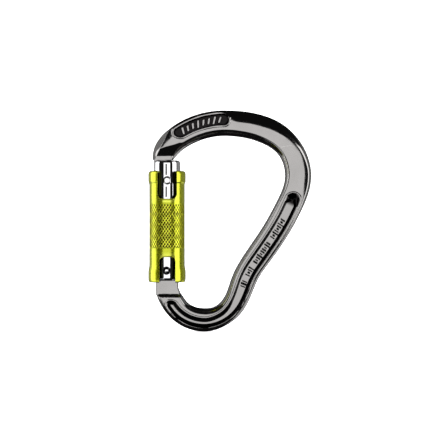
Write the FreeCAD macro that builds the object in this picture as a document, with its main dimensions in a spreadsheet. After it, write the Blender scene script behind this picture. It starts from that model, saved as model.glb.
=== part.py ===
import FreeCAD, Part
import math
import os
import Sketcher

# Locking carabiner. The ring lies in the XZ plane, the gate stands on the left (-X), the large bow is on top (+Z).
# Origin: middle of the bounding box in X and Y, lowest point of the small bow in Z. Millimetres.

doc = FreeCAD.newDocument("locking_carabiner")

SIZES = {
    # forged body
    "body_depth": 11.6,
    "outer_round": 3.4,
    "inner_round": 2.6,
    "groove_depth": 1.3,
    "groove_seat": 4.5,
    "nose_flat": 87.04,
    "key_neck": 1.1,
    "key_bulb": 1.7,
    "key_height": 84.0,
    "key_left": 38.45,
    "key_right": 32.4,
    "tang_thickness": 5.6,
    "tang_hole_radius": 1.75,
    # gate
    "gate_axis": 31.83,
    "hinge_height": 31.2,
    "barrel_radius": 6.75,
    "barrel_low": 26.0,
    "barrel_high": 86.75,
    "neck_radius": 4.7,
    "neck_low": 45.0,
    "neck_high": 59.2,
    "fork_gap": 5.9,
    "fork_top": 38.6,
    "bore_radius": 2.5,
    "bore_top": 57.0,
    "rivet_radius": 1.7,
    "rivet_seat_radius": 1.97,
    "rivet_seat_depth": 5.6,
    "key_slot": 1.45,
    "key_pocket": 2.05,
    "key_pocket_low": 83.5,
    "latch_radius": 1.5,
    "latch_height": 76.4,
    "stop_radius": 0.6,
    "stop_height": 61.5,
    "barrel_round": 1.5,
    # hinge rivet
    "rivet_head_radius": 1.95,
    "rivet_end": 6.45,
    # plunger and springs
    "plunger_radius": 2.42,
    "plunger_tip": 36.7,
    "plunger_ball": 39.12,
    "plunger_shoulder": 46.0,
    "stem_radius": 1.3,
    "stem_top": 50.0,
    "spring_wire": 0.32,
    "spring_radius": 1.95,
    "torsion_wire": 0.42,
    "torsion_radius": 5.5,
    # rings on the gate
    "bush_inner": 6.77,
    "bush_outer": 7.9,
    "lower_bush_low": 39.35,
    "lower_bush_high": 44.6,
    "upper_bush_low": 63.4,
    "upper_bush_high": 66.6,
    "collar_inner": 6.81,
    "collar_outer": 7.93,
    "collar_low": 58.4,
    "collar_high": 63.2,
    "window_radius": 7.3,
    "window_low": 60.8,
    "window_high": 62.2,
    "snap_inner": 7.15,
    "snap_outer": 8.25,
    "snap_low": 38.35,
    "snap_high": 39.05,
    # twist sleeve
    "sleeve_low": 25.2,
    "sleeve_high": 81.4,
    "sleeve_radius": 9.0,
    "waist_radius": 8.75,
    "flare_radius": 9.5,
    "lower_flare_top": 34.0,
    "upper_flare_low": 75.2,
    "waist_low": 42.3,
    "waist_high": 64.6,
    "sleeve_bore": 7.95,
    "mouth_radius": 8.75,
    "mouth_top": 28.2,
    "shoulder_radius": 7.3,
    "shoulder_height": 66.8,
    "snap_groove_radius": 8.3,
    "snap_groove_low": 38.3,
    "snap_groove_high": 39.1,
    "upper_notch_width": 10.0,
    "upper_notch_bottom": 67.3,
    "lower_notch_width": 8.0,
    "lower_notch_top": 38.0,
    "notch_corner": 2.2,
}

sheet = doc.addObject("Spreadsheet::Sheet", "Sizes")
row = 1
for word, number in SIZES.items():
    sheet.set("A%d" % row, word)
    sheet.set("B%d" % row, "%.4f" % number)
    sheet.setAlias("B%d" % row, word)
    row += 1
doc.recompute()


def size(word):
    return float(getattr(sheet, word))


def number(item):
    """A coordinate is a plain number, or a word from the sheet, with a minus sign in front when it is negative."""
    if isinstance(item, str):
        return -size(item[1:]) if item.startswith("-") else size(item)
    return float(item)


def word_of(item):
    if isinstance(item, str):
        return item[1:] if item.startswith("-") else item
    return None


def plane(body, role):
    for feature in body.Origin.OriginFeatures:
        if feature.Role == role:
            return feature
    raise RuntimeError(role)


def new_body(label, x=0.0, y=0.0, z=0.0):
    body = doc.addObject("PartDesign::Body", label)
    body.Label = label
    body.Placement = FreeCAD.Placement(FreeCAD.Vector(x, y, z), FreeCAD.Rotation())
    return body


def new_sketch(body, name, role="XZ_Plane", offset=0.0):
    sketch = body.newObject("Sketcher::SketchObject", name)
    sketch.AttachmentSupport = [(plane(body, role), "")]
    sketch.MapMode = "FlatFace"
    if offset:
        sketch.AttachmentOffset = FreeCAD.Placement(FreeCAD.Vector(0, 0, offset), FreeCAD.Rotation())
    return sketch


def pin_point(sketch, geo, pos, x, z):
    """Ties a sketch point to the sketch origin by its two coordinates, bound to the sheet where they are words."""
    for kind, item in (("DistanceX", x), ("DistanceY", z)):
        value = number(item)
        if abs(value) < 1e-9:
            sketch.addConstraint(Sketcher.Constraint("PointOnObject", geo, pos, -2 if kind == "DistanceX" else -1))
            continue
        if value > 0:
            c = sketch.addConstraint(Sketcher.Constraint(kind, -1, 1, geo, pos, value))
        else:
            c = sketch.addConstraint(Sketcher.Constraint(kind, geo, pos, -1, 1, -value))
        if word_of(item):
            sketch.setExpression("Constraints[%d]" % c, "Sizes." + word_of(item))


def polygon(sketch, points):
    places = [FreeCAD.Vector(number(x), number(z), 0) for x, z in points]
    first = None
    count = len(points)
    for i in range(count):
        g = sketch.addGeometry(Part.LineSegment(places[i], places[(i + 1) % count]), False)
        if first is None:
            first = g
    for i in range(count):
        sketch.addConstraint(Sketcher.Constraint("Coincident", first + i, 2, first + (i + 1) % count, 1))
    for i in range(count):
        pin_point(sketch, first + i, 1, points[i][0], points[i][1])
    return sketch


def circle(sketch, x, z, radius):
    g = sketch.addGeometry(
        Part.Circle(FreeCAD.Vector(number(x), number(z), 0), FreeCAD.Vector(0, 0, 1), number(radius)), False
    )
    c = sketch.addConstraint(Sketcher.Constraint("Radius", g, number(radius)))
    if word_of(radius):
        sketch.setExpression("Constraints[%d]" % c, "Sizes." + word_of(radius))
    pin_point(sketch, g, 3, x, z)
    return sketch


def smooth(points):
    """A clamped cubic B-spline with the given poles."""
    poles = [FreeCAD.Vector(x, z, 0) for x, z in points]
    inner = len(poles) - 4
    knots = [float(i) for i in range(inner + 2)]
    mults = [4] + [1] * inner + [4]
    curve = Part.BSplineCurve()
    curve.buildFromPolesMultsKnots(poles, mults, knots, False, 3)
    return curve


def pad(body, sketch, length, name):
    feature = body.newObject("PartDesign::Pad", name)
    feature.Profile = sketch
    feature.SideType = "Symmetric"
    feature.Length = number(length)
    if word_of(length):
        feature.setExpression("Length", "Sizes." + word_of(length))
    sketch.Visibility = False
    doc.recompute()
    return feature


def cut_through(body, sketch, name, length=60.0, symmetric=True, reverse=False):
    before = body.Shape.Volume
    feature = body.newObject("PartDesign::Pocket", name)
    feature.Profile = sketch
    if symmetric:
        feature.SideType = "Symmetric"
    feature.Length = number(length)
    if word_of(length):
        feature.setExpression("Length", "Sizes." + word_of(length))
    feature.Reversed = reverse
    doc.recompute()
    if before - body.Shape.Volume < 1e-3:
        raise RuntimeError("%s cuts nothing" % name)
    return feature


def turn(body, sketch, name, kind="PartDesign::Revolution"):
    feature = body.newObject(kind, name)
    feature.Profile = sketch
    feature.ReferenceAxis = (sketch, ["V_Axis"])
    feature.Angle = 360.0
    doc.recompute()
    return feature


def edges_of(shape, test):
    return ["Edge%d" % (i + 1) for i, e in enumerate(shape.Edges) if test(e)]


def round_edges(body, base, names, radius, name, kind="PartDesign::Fillet"):
    feature = body.newObject(kind, name)
    feature.Base = (base, names)
    prop = "Radius" if kind.endswith("Fillet") else "Size"
    setattr(feature, prop, number(radius))
    if word_of(radius):
        feature.setExpression(prop, "Sizes." + word_of(radius))
    doc.recompute()
    return feature


# ---------------------------------------------------------------------------------------------------------------
# Forged body: outer and inner outline of the ring, from the nose round the bows to the hinge tang
# ---------------------------------------------------------------------------------------------------------------
OUTER = [
    (-39.15, 87.04), (-39.25, 89.2), (-38.9, 92.2), (-37.3, 95.9), (-34.9, 99.2), (-31.6, 102.3), (-27.6, 105.1),
    (-22.8, 107.8), (-17.6, 109.9), (-11.8, 111.4), (-5.8, 112.15), (0.6, 112.2), (6.8, 111.8), (13.1, 110.8),
    (19.4, 109.05), (25.4, 106.3), (30.9, 102.3), (35.5, 97.0), (39.1, 90.8), (41.1, 84.2), (41.58, 77.6),
    (40.3, 70.6), (37.5, 63.7), (34.4, 57.5), (31.4, 51.9), (27.9, 46.3), (24.0, 40.4), (19.4, 34.2), (15.2, 28.6),
    (12.4, 22.4), (10.0, 16.0), (6.7, 10.0), (1.6, 4.95), (-5.4, 1.15), (-12.6, -0.46), (-19.6, 0.7), (-25.8, 3.4),
    (-31.0, 7.6), (-34.8, 12.9), (-36.9, 17.4), (-37.4, 19.6),
]
INNER = [
    (-28.7, 87.04), (-27.4, 88.7), (-24.9, 91.5), (-21.0, 94.2), (-16.2, 96.5), (-11.3, 98.2), (-5.6, 99.25),
    (0.2, 99.25), (5.6, 98.6), (10.8, 97.6), (16.0, 95.75), (20.9, 93.3), (24.9, 89.9), (27.3, 85.0), (28.4, 78.6),
    (26.9, 72.6), (24.8, 68.0), (22.1, 62.8), (19.0, 56.9), (15.4, 51.1), (11.3, 45.1), (7.1, 39.0), (3.4, 33.1),
    (1.1, 28.2), (-0.4, 23.6), (-1.9, 19.0), (-4.6, 14.7), (-8.4, 12.1), (-12.6, 11.8), (-16.9, 12.1),
    (-20.7, 13.9), (-22.9, 16.4), (-24.4, 19.0), (-24.9, 19.6),
]

frame = new_body("frame_body")
outline = new_sketch(frame, "ring_outline")
outline.addGeometry(smooth(OUTER), False)
outline.addGeometry(smooth(INNER), False)
outline.addGeometry(
    Part.LineSegment(FreeCAD.Vector(OUTER[0][0], OUTER[0][1], 0), FreeCAD.Vector(INNER[0][0], INNER[0][1], 0)), False
)
outline.addGeometry(
    Part.LineSegment(FreeCAD.Vector(OUTER[-1][0], OUTER[-1][1], 0), FreeCAD.Vector(INNER[-1][0], INNER[-1][1], 0)),
    False,
)
ring = pad(frame, outline, "body_depth", "ring_forging")


def long_edge(e):
    return e.Length > 60 and abs(abs(e.BoundBox.YMin) - size("body_depth") / 2) < 1e-3 and e.BoundBox.YLength < 1e-3


outer_names = edges_of(ring.Shape, lambda e: long_edge(e) and e.BoundBox.XMax > 35)
inner_names = edges_of(ring.Shape, lambda e: long_edge(e) and e.BoundBox.XMax < 35)
r1 = round_edges(frame, ring, outer_names, "outer_round", "outer_rounding")
inner_names = edges_of(
    r1.Shape,
    lambda e: e.Length > 60 and e.BoundBox.YLength < 1e-3 and e.BoundBox.XMax < 29
    and abs(abs(e.BoundBox.YMin) - size("body_depth") / 2) < 1e-3,
)
r2 = round_edges(frame, r1, inner_names, "inner_round", "inner_rounding")
print("ring", round(frame.Shape.Volume, 1), frame.Shape.isValid(), outer_names, inner_names)


# Nose key: a neck with a round bulb that hangs in the gate's key slot and takes the load when the gate is shut
neck = new_sketch(frame, "key_neck_outline", role="YZ_Plane", offset=-size("key_left"))
neck.setExpression("AttachmentOffset.Base.z", "-Sizes.key_left")
polygon(neck, [("-key_neck", "key_height"), ("key_neck", "key_height"), ("key_neck", 90.0), ("-key_neck", 90.0)])
bulb = new_sketch(frame, "key_bulb_outline", role="YZ_Plane", offset=-size("key_left"))
bulb.setExpression("AttachmentOffset.Base.z", "-Sizes.key_left")
circle(bulb, 0, "key_height", "key_bulb")
for s, name in ((neck, "key_neck_pad"), (bulb, "key_bulb_pad")):
    feature = frame.newObject("PartDesign::Pad", name)
    feature.Profile = s
    feature.Length = size("key_left") - size("key_right")
    feature.setExpression("Length", "Sizes.key_left - Sizes.key_right")
    doc.recompute()

# Hinge tang: a flat blade with a spiral top that pushes the plunger up as the gate opens
GX, HZ = -size("gate_axis"), size("hinge_height")
tang_points = [(GX - 5.5, 17.0), (GX - 5.5, 24.0), (GX - 5.4, HZ - 3.0)]
for degrees in range(-90, -9, 10):
    a = math.radians(degrees)
    radius = 5.35 - 0.15 * (degrees + 90) / 80.0
    tang_points.append((GX + radius * math.sin(a), HZ + radius * math.cos(a)))
for degrees in range(-5, 26, 3):
    a = math.radians(degrees)
    radius = 5.2 + 0.04 * max(0.0, degrees)
    tang_points.append((GX + radius * math.sin(a), HZ + radius * math.cos(a)))
for degrees in range(32, 91, 8):
    a = math.radians(degrees)
    radius = 6.15 - 0.42 * (degrees - 25) / 65.0
    tang_points.append((GX + radius * math.sin(a), HZ + radius * math.cos(a)))
tang_points += [(GX + 5.72, HZ - 3.0), (GX + 5.75, 22.0), (GX + 6.6, 20.2), (GX + 6.6, 17.0)]
tang = new_sketch(frame, "tang_outline")
polygon(tang, tang_points)
pad(frame, tang, "tang_thickness", "hinge_tang")
tang_hole = new_sketch(frame, "tang_hole_outline")
circle(tang_hole, "-gate_axis", "hinge_height", "tang_hole_radius")
cut_through(frame, tang_hole, "tang_hole")


# Weight-saving grooves, one long one round the spine and small bow and one on the large bow, on both faces
def ribbon(points, start, end, steps, half, taper=0.0):
    """A closed ring of poles at half width either side of the middle line through the given points."""
    spine = smooth(points)
    left, right = [], []
    for i in range(steps + 1):
        u = start + (end - start) * i / steps
        u = spine.FirstParameter + (spine.LastParameter - spine.FirstParameter) * u
        p, t = spine.value(u), spine.tangent(u)[0]
        n = FreeCAD.Vector(-t.y, t.x, 0)
        left.append((p.x + n.x * half, p.y + n.y * half))
        right.append((p.x - n.x * half, p.y - n.y * half))
    return left, right


def stadium(sketch, left, right):
    """Two smooth sides joined by round ends."""
    sketch.addGeometry(smooth(left), False)
    sketch.addGeometry(smooth(right), False)
    for (ax, az), (bx, bz), (cx, cz) in ((left[0], right[0], left[1]), (left[-1], right[-1], left[-2])):
        mx, mz = (ax + bx) / 2, (az + bz) / 2
        dx, dz = ax - cx, az - cz
        k = math.hypot(ax - bx, az - bz) / 2 / math.hypot(dx, dz)
        sketch.addGeometry(
            Part.Arc(
                FreeCAD.Vector(ax, az, 0), FreeCAD.Vector(mx + dx * k, mz + dz * k, 0), FreeCAD.Vector(bx, bz, 0)
            ),
            False,
        )


LONG_GROOVE = [
    (31.7, 66.7), (29.9, 62.8), (27.4, 57.8), (26.2, 52.0), (22.5, 46.0), (18.5, 40.0), (14.2, 34.0), (10.0, 28.4), (6.8, 23.0),
    (4.6, 17.6), (1.9, 12.6), (-2.6, 8.6), (-7.6, 6.4), (-12.8, 5.7), (-18.6, 6.6), (-23.6, 9.0), (-27.6, 12.4),
    (-29.6, 14.8),
]
BOW_GROOVE = [(-24.5, 101.0), (-21.0, 102.8), (-17.2, 104.5), (-13.2, 105.8), (-9.1, 106.6), (-4.3, 107.1)]
for name, route, half in (("long_groove", LONG_GROOVE, 3.25), ("bow_groove", BOW_GROOVE, 2.9)):
    left, right = ribbon(route, 0.0, 1.0, 24 if len(route) > 10 else 8, half)
    for side, sign in (("front", 1.0), ("back", -1.0)):
        s = new_sketch(frame, name + "_" + side, offset=sign * size("groove_seat"))
        s.setExpression("AttachmentOffset.Base.z", "%sSizes.groove_seat" % ("" if sign > 0 else "-"))
        stadium(s, left, right)
        cut_through(frame, s, name + "_cut_" + side, length=4.0, symmetric=False, reverse=sign > 0)

# ---------------------------------------------------------------------------------------------------------------
# Gate: a turned barrel with a fork, a neck for the torsion spring and a slot for the nose key
# ---------------------------------------------------------------------------------------------------------------
gate = new_body("gate_barrel", x=GX)
profile = new_sketch(gate, "barrel_profile")
polygon(
    profile,
    [
        (0, "barrel_low"), ("barrel_radius", "barrel_low"), ("barrel_radius", "neck_low"), ("neck_radius", "neck_low"),
        ("neck_radius", "neck_high"), ("barrel_radius", "neck_high"), ("barrel_radius", "barrel_high"),
        (0, "barrel_high"),
    ],
)
barrel = turn(gate, profile, "barrel_turning")
ends = edges_of(
    barrel.Shape,
    lambda e: abs(e.BoundBox.ZLength) < 1e-6
    and e.BoundBox.XLength > 12.5
    and (abs(e.BoundBox.ZMin - size("barrel_high")) < 1e-6 or abs(e.BoundBox.ZMin - size("barrel_low")) < 1e-6),
)
round_edges(gate, barrel, ends, "barrel_round", "end_rounding")
bore = new_sketch(gate, "bore_profile")
polygon(bore, [(0, 30.0), ("bore_radius", 30.0), ("bore_radius", "bore_top"), (0, "bore_top")])
turn(gate, bore, "plunger_bore", kind="PartDesign::Groove")
fork = new_sketch(gate, "fork_outline", role="YZ_Plane")
polygon(fork, [(-2.95, 20.0), (2.95, 20.0), (2.95, "fork_top"), (-2.95, "fork_top")])
cut_through(gate, fork, "fork_slot")
rivet_hole = new_sketch(gate, "rivet_hole_outline")
circle(rivet_hole, 0, "hinge_height", "rivet_radius")
cut_through(gate, rivet_hole, "rivet_hole")
for side, sign in (("front", 1.0), ("back", -1.0)):
    seat = new_sketch(gate, "rivet_seat_" + side, offset=sign * size("rivet_seat_depth"))
    circle(seat, 0, "hinge_height", "rivet_seat_radius")
    cut_through(gate, seat, "rivet_seat_cut_" + side, length=4.0, symmetric=False, reverse=sign > 0)
KEY_END = 0.3
slot_s = new_sketch(gate, "key_slot_outline", role="YZ_Plane", offset=KEY_END)
polygon(slot_s, [("-key_slot", "key_height"), ("key_slot", "key_height"), ("key_slot", 95.0), ("-key_slot", 95.0)])
cut_through(gate, slot_s, "key_slot_cut", length=12.0, symmetric=False)
for name, height in (("key_pocket_upper", "key_height"), ("key_pocket_lower", "key_pocket_low")):
    pocket = new_sketch(gate, name + "_outline", role="YZ_Plane", offset=KEY_END)
    circle(pocket, 0, height, "key_pocket")
    cut_through(gate, pocket, name, length=12.0, symmetric=False)
middle = new_sketch(gate, "key_pocket_middle_outline", role="YZ_Plane", offset=KEY_END)
polygon(
    middle,
    [
        ("-key_pocket", "key_pocket_low"), ("key_pocket", "key_pocket_low"), ("key_pocket", "key_height"),
        ("-key_pocket", "key_height"),
    ],
)
cut_through(gate, middle, "key_pocket_middle", length=12.0, symmetric=False)
latch_hole = new_sketch(gate, "latch_hole_outline")
circle(latch_hole, 0, "latch_height", "latch_radius")
cut_through(gate, latch_hole, "latch_hole")
stop_hole = new_sketch(gate, "stop_hole_outline", role="YZ_Plane", offset=4.4)
circle(stop_hole, 0, "stop_height", "stop_radius")
cut_through(gate, stop_hole, "stop_hole", length=6.0, symmetric=False, reverse=True)
print("gate", round(gate.Shape.Volume, 1), gate.Shape.isValid(), gate.Shape.BoundBox)


# ---------------------------------------------------------------------------------------------------------------
# Turned pins: sketch in XZ, turned about the sketch's upright axis, then laid over by the body's placement
# ---------------------------------------------------------------------------------------------------------------
def turned(label, points, x, z, lay=None):
    body = new_body(label)
    s = new_sketch(body, label + "_profile")
    polygon(s, points)
    turn(body, s, label + "_turning")
    rotation = FreeCAD.Rotation()
    if lay:
        rotation = FreeCAD.Rotation(FreeCAD.Vector(*lay[0]), lay[1])
    body.Placement = FreeCAD.Placement(FreeCAD.Vector(x, 0, z), rotation)
    doc.recompute()
    print(label, round(body.Shape.Volume, 2), body.Shape.isValid())
    return body


along_y = ((1, 0, 0), 90.0)
turned(
    "hinge_rivet",
    [
        (0, "-rivet_end"), (1.75, "-rivet_end"), ("rivet_head_radius", -6.2), ("rivet_head_radius", "-rivet_seat_depth"),
        ("rivet_radius", "-rivet_seat_depth"), ("rivet_radius", "rivet_seat_depth"),
        ("rivet_head_radius", "rivet_seat_depth"), ("rivet_head_radius", 6.2), (1.75, "rivet_end"), (0, "rivet_end"),
    ],
    GX, HZ, along_y,
)
turned(
    "latch_pin",
    [
        (0, -7.2), (0.9, -7.15), (1.6, -7.0), (2.05, -6.78), ("latch_radius", -6.78), ("latch_radius", 6.78),
        (2.05, 6.78), (1.6, 7.0), (0.9, 7.15), (0, 7.2),
    ],
    GX, size("latch_height"), along_y,
)
turned(
    "stop_pin",
    [(0, 4.45), ("stop_radius", 4.45), ("stop_radius", 7.0), (0.4, 7.1), (0, 7.1)],
    GX, size("stop_height"), ((0, 1, 0), 90.0),
)

# Plunger: ball end on the tang's spiral, stem inside the return spring
plunger = new_body("plunger", x=GX)
ps = new_sketch(plunger, "plunger_profile")
polygon(
    ps,
    [
        (0, "plunger_ball"), ("plunger_radius", "plunger_ball"), ("plunger_radius", "plunger_shoulder"),
        ("stem_radius", "plunger_shoulder"), ("stem_radius", "stem_top"), (0, "stem_top"),
    ],
)
turn(plunger, ps, "plunger_turning")
ball = plunger.newObject("PartDesign::AdditiveSphere", "plunger_ball_end")
ball.Radius = size("plunger_radius")
ball.setExpression("Radius", "Sizes.plunger_radius")
ball.AttachmentSupport = [(plane(plunger, "XY_Plane"), "")]
ball.MapMode = "FlatFace"
ball.AttachmentOffset = FreeCAD.Placement(FreeCAD.Vector(0, 0, size("plunger_ball")), FreeCAD.Rotation())
ball.setExpression("AttachmentOffset.Base.z", "Sizes.plunger_ball")
doc.recompute()
print("plunger", round(plunger.Shape.Volume, 2), plunger.Shape.BoundBox.ZMin)


def coil(radius, wire, pitch, low, high):
    """One closed solid: a round wire swept along a helix about the gate's axis, from low to high."""
    path = Part.makeHelix(pitch, high - low, radius)
    section = Part.Wire(
        Part.makeCircle(wire, FreeCAD.Vector(radius, 0, 0), FreeCAD.Vector(0, 1, pitch / (2 * math.pi * radius)))
    )
    return Part.Wire(path).makePipeShell([section], True, True)


rs = coil(size("spring_radius"), size("spring_wire"), 1.5, 46.4, 56.6)
spring = doc.addObject("Part::Feature", "return_spring")
spring.Label = "return_spring"
spring.Shape = rs
spring.Placement = FreeCAD.Placement(FreeCAD.Vector(GX, 0, 46.4), FreeCAD.Rotation())

# Torsion spring: a close coil in the gate's neck, its ends at the gate's shoulder and at the collar
tr, tw = size("torsion_radius"), size("torsion_wire")
turns = 8.25
t_low, pitch = 45.8, 1.52
t_high = t_low + turns * pitch
ts = coil(tr, tw, pitch, t_low, t_high)
torsion = doc.addObject("Part::Feature", "torsion_spring")
torsion.Label = "torsion_spring"
torsion.Shape = ts
torsion.Placement = FreeCAD.Placement(FreeCAD.Vector(GX, 0, t_low), FreeCAD.Rotation())
print("springs", rs.isValid(), round(rs.Volume, 2), torsion.Shape.isValid(), len(torsion.Shape.Solids), t_high)


def ring_body(label, inner, outer, low, high):
    body = new_body(label, x=GX)
    s = new_sketch(body, label + "_profile")
    polygon(s, [(inner, low), (outer, low), (outer, high), (inner, high)])
    turn(body, s, label + "_turning")
    return body


ring_body("lower_bushing", "bush_inner", "bush_outer", "lower_bush_low", "lower_bush_high")
ring_body("upper_bushing", "bush_inner", "bush_outer", "upper_bush_low", "upper_bush_high")

# Snap ring: open at the back
snap = ring_body("snap_ring", "snap_inner", "snap_outer", "snap_low", "snap_high")
gap = new_sketch(snap, "snap_gap_outline", role="XY_Plane")
polygon(gap, [(0, 0), (3.2, 12.0), (-3.2, 12.0)])
cut_through(snap, gap, "snap_gap", length=200.0)

# Spring collar: a quarter-turn window for the stop pin
collar = ring_body("spring_collar", "collar_inner", "collar_outer", "collar_low", "collar_high")
win = new_sketch(collar, "window_profile")
win.AttachmentOffset = FreeCAD.Placement(FreeCAD.Vector(0, 0, 0), FreeCAD.Rotation(FreeCAD.Vector(0, 1, 0), 6.5))
polygon(
    win,
    [(5.0, "window_low"), ("window_radius", "window_low"), ("window_radius", "window_high"), (5.0, "window_high")],
)
w = collar.newObject("PartDesign::Groove", "stop_window")
w.Profile = win
w.ReferenceAxis = (win, ["V_Axis"])
w.Angle = 103.0
w.Reversed = True
doc.recompute()
print("collar", round(collar.Shape.Volume, 2))

# ---------------------------------------------------------------------------------------------------------------
# Twist sleeve
# ---------------------------------------------------------------------------------------------------------------
sleeve = new_body("lock_sleeve", x=GX)
sp = new_sketch(sleeve, "sleeve_profile")
polygon(
    sp,
    [
        ("mouth_radius", "sleeve_low"), (9.15, "sleeve_low"), ("flare_radius", 26.0), ("flare_radius", 31.0),
        ("sleeve_radius", "lower_flare_top"), ("sleeve_radius", "waist_low"), ("waist_radius", 42.6),
        ("waist_radius", 64.3), ("sleeve_radius", "waist_high"), ("sleeve_radius", "upper_flare_low"),
        ("flare_radius", 77.0), ("flare_radius", 80.4), (8.7, "sleeve_high"), (7.6, "sleeve_high"),
        ("shoulder_radius", 81.0), ("shoulder_radius", "shoulder_height"), ("sleeve_bore", "shoulder_height"),
        ("sleeve_bore", "snap_groove_high"), ("snap_groove_radius", "snap_groove_high"),
        ("snap_groove_radius", "snap_groove_low"), ("sleeve_bore", "snap_groove_low"), ("sleeve_bore", "mouth_top"),
    ],
)
turn(sleeve, sp, "sleeve_turning")


def notch(name, half, low, high, closed_low):
    """A through notch, open at one end, with round corners at the closed end."""
    s = new_sketch(sleeve, name + "_outline")
    r = size("notch_corner")
    V = FreeCAD.Vector
    if closed_low:
        c1, c2, z0, z1, zc, mid = (-half + r, low + r), (half - r, low + r), low, high, low + r, 1
        s.addGeometry(Part.LineSegment(V(-half, z1, 0), V(-half, zc, 0)), False)
        s.addGeometry(Part.Arc(V(-half, zc, 0), V(c1[0] - r * 0.70710678, c1[1] - r * 0.70710678, 0), V(c1[0], z0, 0)), False)
        s.addGeometry(Part.LineSegment(V(c1[0], z0, 0), V(c2[0], z0, 0)), False)
        s.addGeometry(Part.Arc(V(c2[0], z0, 0), V(c2[0] + r * 0.70710678, c2[1] - r * 0.70710678, 0), V(half, zc, 0)), False)
        s.addGeometry(Part.LineSegment(V(half, zc, 0), V(half, z1, 0)), False)
        s.addGeometry(Part.LineSegment(V(half, z1, 0), V(-half, z1, 0)), False)
    else:
        c1, c2, zc = (-half + r, high - r), (half - r, high - r), high - r
        s.addGeometry(Part.LineSegment(V(-half, low, 0), V(-half, zc, 0)), False)
        s.addGeometry(Part.Arc(V(-half, zc, 0), V(c1[0] - r * 0.70710678, c1[1] + r * 0.70710678, 0), V(c1[0], high, 0)), False)
        s.addGeometry(Part.LineSegment(V(c1[0], high, 0), V(c2[0], high, 0)), False)
        s.addGeometry(Part.Arc(V(c2[0], high, 0), V(c2[0] + r * 0.70710678, c2[1] + r * 0.70710678, 0), V(half, zc, 0)), False)
        s.addGeometry(Part.LineSegment(V(half, zc, 0), V(half, low, 0)), False)
        s.addGeometry(Part.LineSegment(V(half, low, 0), V(-half, low, 0)), False)
    cut_through(sleeve, s, name)


notch("upper_notch", size("upper_notch_width") / 2, size("upper_notch_bottom"), 90.0, True)
notch("lower_notch", size("lower_notch_width") / 2, 15.0, size("lower_notch_top"), False)
print("sleeve", round(sleeve.Shape.Volume, 1), sleeve.Shape.isValid(), len(sleeve.Shape.Solids))

# ---------------------------------------------------------------------------------------------------------------
# Checks and files
# ---------------------------------------------------------------------------------------------------------------
doc.recompute()
for thing in doc.Objects:
    if "Invalid" in thing.State or "Error" in thing.State:
        raise RuntimeError("failed feature: %s %s" % (thing.Label, thing.State))

NODES = [
    "frame_body", "gate_barrel", "hinge_rivet", "latch_pin", "stop_pin", "plunger", "return_spring", "torsion_spring",
    "lower_bushing", "upper_bushing", "snap_ring", "spring_collar", "lock_sleeve",
]
shapes = {}
for label in NODES:
    thing = doc.getObjectsByLabel(label)[0]
    shape = thing.Shape
    if shape.isNull() or not shape.isValid() or len(shape.Solids) != 1:
        raise RuntimeError("bad shape: %s %d" % (label, len(shape.Solids)))
    shapes[label] = shape

whole = FreeCAD.BoundBox()
for shape in shapes.values():
    whole.add(shape.optimalBoundingBox(False, False))
print("whole", [round(v, 3) for v in (whole.XMin, whole.XMax, whole.YMin, whole.YMax, whole.ZMin, whole.ZMax)])

os.makedirs("parts", exist_ok=True)
for label, shape in shapes.items():
    shape.exportStep("parts/%s.step" % label)
    print(label, round(shape.Volume, 2))
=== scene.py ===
import math

import bmesh
import bpy
import numpy as np
from mathutils import Matrix, Vector


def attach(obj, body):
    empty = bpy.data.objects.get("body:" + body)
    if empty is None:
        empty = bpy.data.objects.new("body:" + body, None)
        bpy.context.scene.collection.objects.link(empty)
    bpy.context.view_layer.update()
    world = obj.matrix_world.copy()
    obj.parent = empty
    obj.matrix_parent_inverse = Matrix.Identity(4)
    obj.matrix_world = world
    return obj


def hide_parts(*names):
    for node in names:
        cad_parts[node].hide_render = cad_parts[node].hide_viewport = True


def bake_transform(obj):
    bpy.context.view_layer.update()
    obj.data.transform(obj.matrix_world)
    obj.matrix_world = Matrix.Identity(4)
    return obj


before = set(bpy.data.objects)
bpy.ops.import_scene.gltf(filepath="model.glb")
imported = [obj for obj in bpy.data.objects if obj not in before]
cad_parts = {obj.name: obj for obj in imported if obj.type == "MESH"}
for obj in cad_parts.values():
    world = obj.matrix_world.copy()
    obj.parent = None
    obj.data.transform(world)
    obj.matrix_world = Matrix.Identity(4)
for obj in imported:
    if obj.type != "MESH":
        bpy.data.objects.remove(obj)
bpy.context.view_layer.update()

MM = 0.001
GX, HZ = -31.83, 31.2           # gate axis X and hinge height, mm
scene = bpy.context.scene

# ------------------------------------------------------------------------------------------------------------------
# Curves of the ring
# ------------------------------------------------------------------------------------------------------------------
OUTER = [
    (-39.15, 87.04), (-39.25, 89.2), (-38.9, 92.2), (-37.3, 95.9), (-34.9, 99.2), (-31.6, 102.3), (-27.6, 105.1),
    (-22.8, 107.8), (-17.6, 109.9), (-11.8, 111.4), (-5.8, 112.15), (0.6, 112.2), (6.8, 111.8), (13.1, 110.8),
    (19.4, 109.05), (25.4, 106.3), (30.9, 102.3), (35.5, 97.0), (39.1, 90.8), (41.1, 84.2), (41.58, 77.6),
    (40.3, 70.6), (37.5, 63.7), (34.4, 57.5), (31.4, 51.9), (27.9, 46.3), (24.0, 40.4), (19.4, 34.2), (15.2, 28.6),
    (12.4, 22.4), (10.0, 16.0), (6.7, 10.0), (1.6, 4.95), (-5.4, 1.15), (-12.6, -0.46), (-19.6, 0.7), (-25.8, 3.4),
    (-31.0, 7.6), (-34.8, 12.9), (-36.9, 17.4), (-37.4, 19.6),
]
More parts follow.
